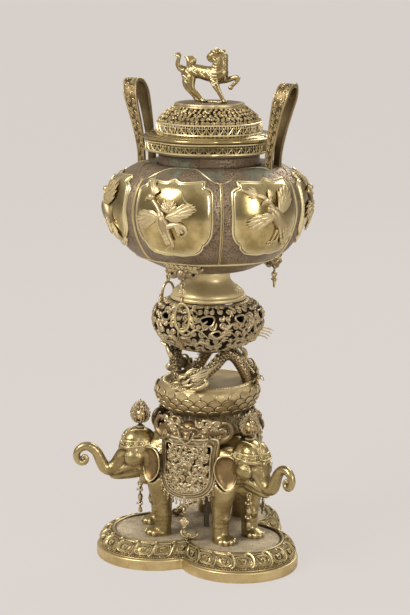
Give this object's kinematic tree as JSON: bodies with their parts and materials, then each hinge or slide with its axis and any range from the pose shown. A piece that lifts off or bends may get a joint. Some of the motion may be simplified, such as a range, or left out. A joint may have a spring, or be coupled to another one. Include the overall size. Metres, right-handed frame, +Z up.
{
  "type": "incense burner",
  "caption": "Lobed bronze incense burner with a pierced lid, strap handles and a beast finial, on a dragon stem borne by elephants on a trefoil plinth.",
  "frame": {"origin": "centre of the plinth's underside, on the bowl's axis, where the part meets the table", "axes": "+Z up along the bowl's axis; the two handles stand at +X and -X; the saddle cloth seen at the front of the picture faces -Y"},
  "size_m": [0.3382, 0.349, 0.7374],
  "materials": {
    "polished_brass": "polished yellow brass with darker recesses",
    "aged_brass": "satin olive brass, worn bright on the edges",
    "dark_bronze": "matte brown bronze with gilt traces",
    "brown_patina": "matted grey-brown patina with polished ribs",
    "iron_hardware": "dull iron"
  },
  "bodies": {
    "burner": {"plinth": "aged_brass", "tie_rod": "iron_hardware", "elephant_body_rear": "polished_brass", "elephant_head_rear": "polished_brass", "flaming_jewel_rear": "dark_bronze", "elephant_body_left": "polished_brass", "elephant_head_left": "polished_brass", "flaming_jewel_left": "dark_bronze", "elephant_body_right": "polished_brass", "elephant_head_right": "polished_brass", "flaming_jewel_right": "dark_bronze", "saddle_cloth_right": "dark_bronze", "beast_mask_right": "aged_brass", "ring_mask_right": "dark_bronze", "saddle_cloth_rear": "dark_bronze", "beast_mask_rear": "aged_brass", "ring_mask_rear": "dark_bronze", "saddle_cloth_front": "dark_bronze", "beast_mask_front": "aged_brass", "ring_mask_front": "dark_bronze", "scroll_collar": "dark_bronze", "lotus_drum": "aged_brass", "dragon_front": "dark_bronze", "dragon_right": "dark_bronze", "dragon_rear": "dark_bronze", "openwork_bulb": "dark_bronze", "waisted_collar": "polished_brass", "bowl_bolt": "iron_hardware", "bowl_nut": "iron_hardware", "bowl": "brown_patina", "panel_1": "polished_brass", "relief_bird_1": "aged_brass", "panel_2": "polished_brass", "relief_bird_2": "aged_brass", "panel_3": "polished_brass", "relief_bird_3": "aged_brass", "panel_4": "polished_brass", "relief_bird_4": "aged_brass", "panel_5": "polished_brass", "relief_bird_5": "aged_brass", "panel_6": "polished_brass", "relief_bird_6": "aged_brass", "gallery": "polished_brass", "handle_right": "aged_brass", "handle_left": "aged_brass"},
    "lid_with_finial": {"lid": "polished_brass", "finial_beast": "polished_brass", "finial_nut": "iron_hardware"},
    "chest_pendant_rear": {"chest_pendant_rear": "dark_bronze"},
    "chest_pendant_left": {"chest_pendant_left": "dark_bronze"},
    "chest_pendant_right": {"chest_pendant_right": "dark_bronze"},
    "cloth_pendant_right": {"cloth_pendant_right": "dark_bronze"},
    "rosette_link_right": {"rosette_link_right": "dark_bronze"},
    "cloth_pendant_rear": {"cloth_pendant_rear": "dark_bronze"},
    "rosette_link_rear": {"rosette_link_rear": "dark_bronze"},
    "swing_ring_rear": {"swing_ring_rear": "aged_brass"},
    "cloth_pendant_front": {"cloth_pendant_front": "dark_bronze"},
    "rosette_link_front": {"rosette_link_front": "dark_bronze"},
    "swing_ring_front": {"swing_ring_front": "aged_brass"}
  },
  "joints": [
    {"name": "chest_pendant_rear_swing", "type": "hinge", "parent": "burner", "child": "chest_pendant_rear", "pos_m": [0, 0.098, 0.1058], "axis": [1, 0, 0], "range_deg": [-25, 50]},
    {"name": "chest_pendant_left_swing", "type": "hinge", "parent": "burner", "child": "chest_pendant_left", "pos_m": [-0.08487, -0.049, 0.1058], "axis": [-0.5, 0.866, 0], "range_deg": [-25, 50]},
    {"name": "chest_pendant_right_swing", "type": "hinge", "parent": "burner", "child": "chest_pendant_right", "pos_m": [0.08487, -0.049, 0.1058], "axis": [-0.5, -0.866, 0], "range_deg": [-25, 50]},
    {"name": "cloth_pendant_right_swing", "type": "hinge", "parent": "burner", "child": "cloth_pendant_right", "pos_m": [0.07275, 0.042, 0.0868], "axis": [0.5, -0.866, 0], "range_deg": [-30, 50]},
    {"name": "rosette_link_right_swing", "type": "hinge", "parent": "burner", "child": "rosette_link_right", "pos_m": [0.08314, 0.048, 0.4128], "axis": [0.5, -0.866, 0], "range_deg": [-5, 45]},
    {"name": "cloth_pendant_rear_swing", "type": "hinge", "parent": "burner", "child": "cloth_pendant_rear", "pos_m": [-0.07275, 0.042, 0.0868], "axis": [0.5, 0.866, 0], "range_deg": [-30, 50]},
    {"name": "rosette_link_rear_swing", "type": "hinge", "parent": "burner", "child": "rosette_link_rear", "pos_m": [-0.08314, 0.048, 0.4128], "axis": [0.5, 0.866, 0], "range_deg": [-5, 45]},
    {"name": "swing_ring_rear_swing", "type": "hinge", "parent": "rosette_link_rear", "child": "swing_ring_rear", "pos_m": [-0.08314, 0.048, 0.3938], "axis": [0.5, 0.866, 0], "range_deg": [-5, 45]},
    {"name": "cloth_pendant_front_swing", "type": "hinge", "parent": "burner", "child": "cloth_pendant_front", "pos_m": [0, -0.084, 0.0868], "axis": [-1, 0, 0], "range_deg": [-30, 50]},
    {"name": "rosette_link_front_swing", "type": "hinge", "parent": "burner", "child": "rosette_link_front", "pos_m": [0, -0.096, 0.4128], "axis": [-1, 0, 0], "range_deg": [-5, 45]},
    {"name": "swing_ring_front_swing", "type": "hinge", "parent": "rosette_link_front", "child": "swing_ring_front", "pos_m": [0, -0.096, 0.3938], "axis": [-1, 0, 0], "range_deg": [-5, 45]},
    {"name": "lid_lift", "type": "slide", "parent": "burner", "child": "lid_with_finial", "axis": [0, 0, 1], "range_m": [0, 0.12]}
  ]
}
